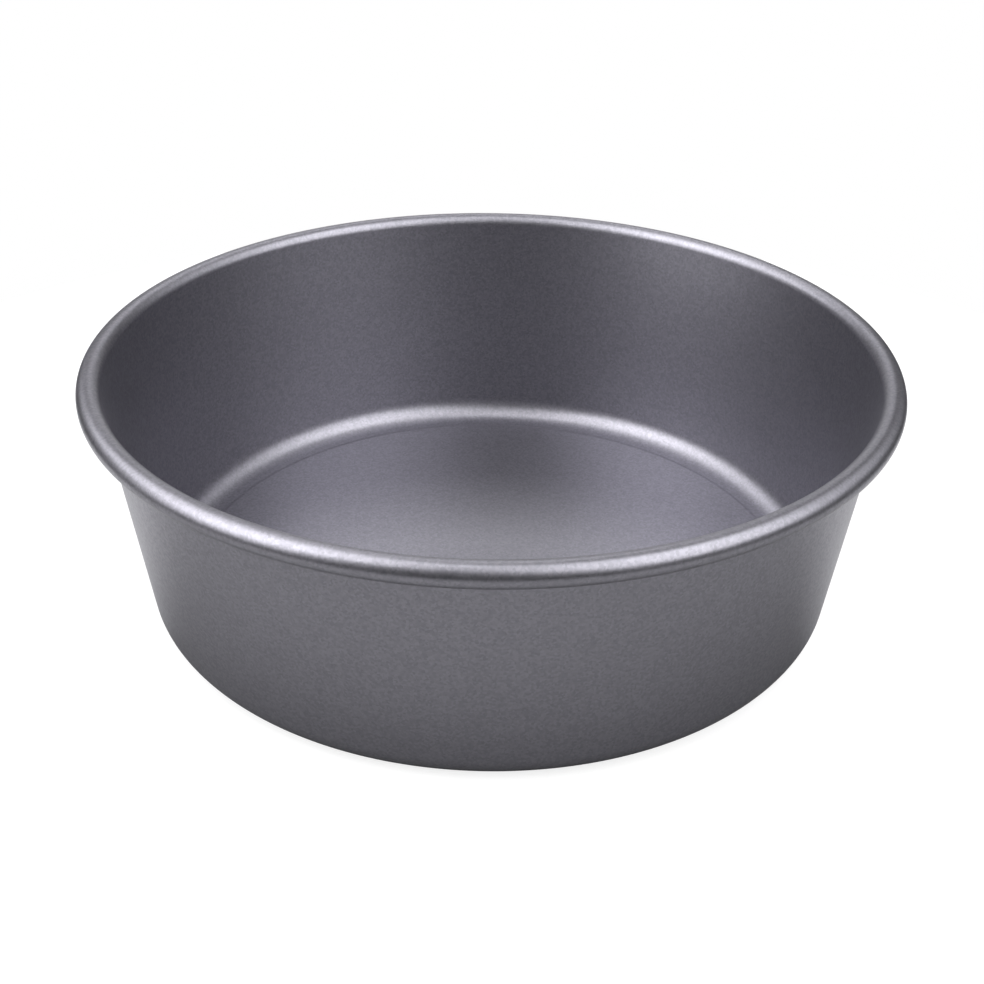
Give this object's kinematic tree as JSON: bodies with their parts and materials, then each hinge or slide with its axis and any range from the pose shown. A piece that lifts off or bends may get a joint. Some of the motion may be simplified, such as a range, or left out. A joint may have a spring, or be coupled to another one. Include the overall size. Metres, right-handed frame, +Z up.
{
  "type": "round cake tin",
  "caption": "Deep round cake tin with gently flared sides, a wide rounded corner, a flat floor and a thick rolled rim, dark grey non-stick coating.",
  "frame": {"origin": "middle of the tin's footprint, on the surface that it stands on", "axes": "+Z up along the tin's axis of symmetry; the tin is the same all round, so +X is any radius; the wire's joint lies on the +X side"},
  "size_m": [0.2154, 0.2154, 0.0684],
  "materials": {
    "nonstick_coating": "satin metallic grey with a fine sparkle",
    "bare_steel_wire": "drawn"
  },
  "bodies": {
    "root": {"tin_body": "nonstick_coating", "rim_wire": "bare_steel_wire"}
  },
  "joints": []
}
